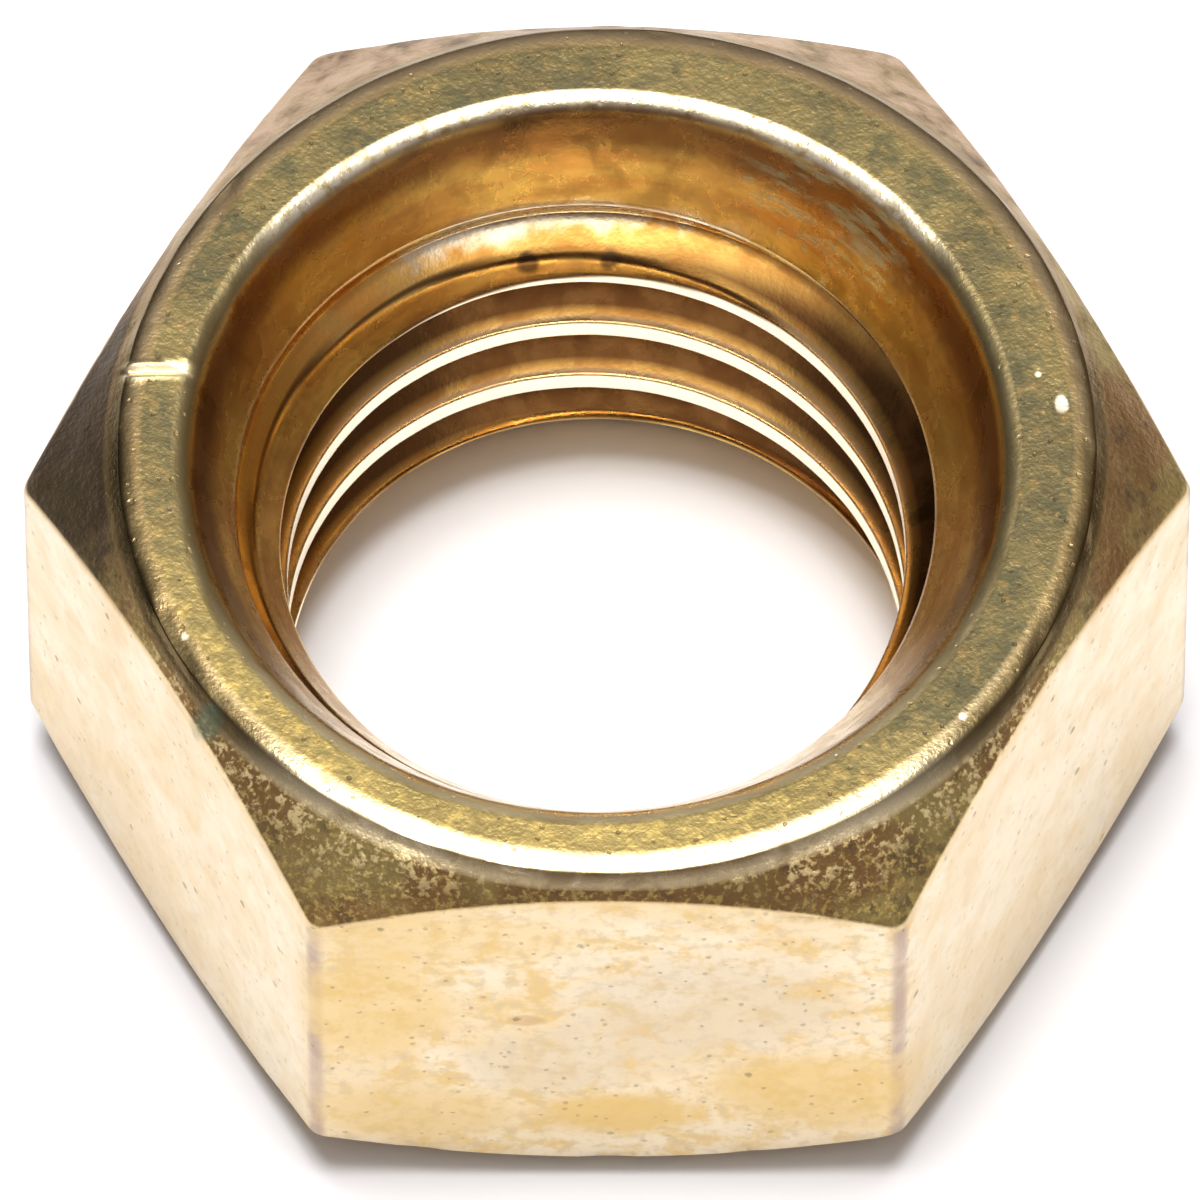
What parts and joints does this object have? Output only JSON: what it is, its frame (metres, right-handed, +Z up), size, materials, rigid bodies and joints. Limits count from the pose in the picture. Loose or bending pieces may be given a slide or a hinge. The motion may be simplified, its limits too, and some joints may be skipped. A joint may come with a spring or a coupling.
{
  "type": "hex nut",
  "caption": "Brass hexagon nut with a raised round upper face, chamfered corners, deep countersinks and a right-hand threaded bore.",
  "frame": {"origin": "centre of the hexagon on the lower bearing face", "axes": "+Z up along the thread, out of the upper face; X across the corners; Y across the front and back flats"},
  "size_m": [0.0196, 0.017, 0.0098],
  "materials": {
    "brass": "aged brass: drawn satin flats, dull olive tarnish on the turned faces, bright worn edges"
  },
  "bodies": {
    "root": {"hex_nut": "brass"}
  },
  "joints": []
}
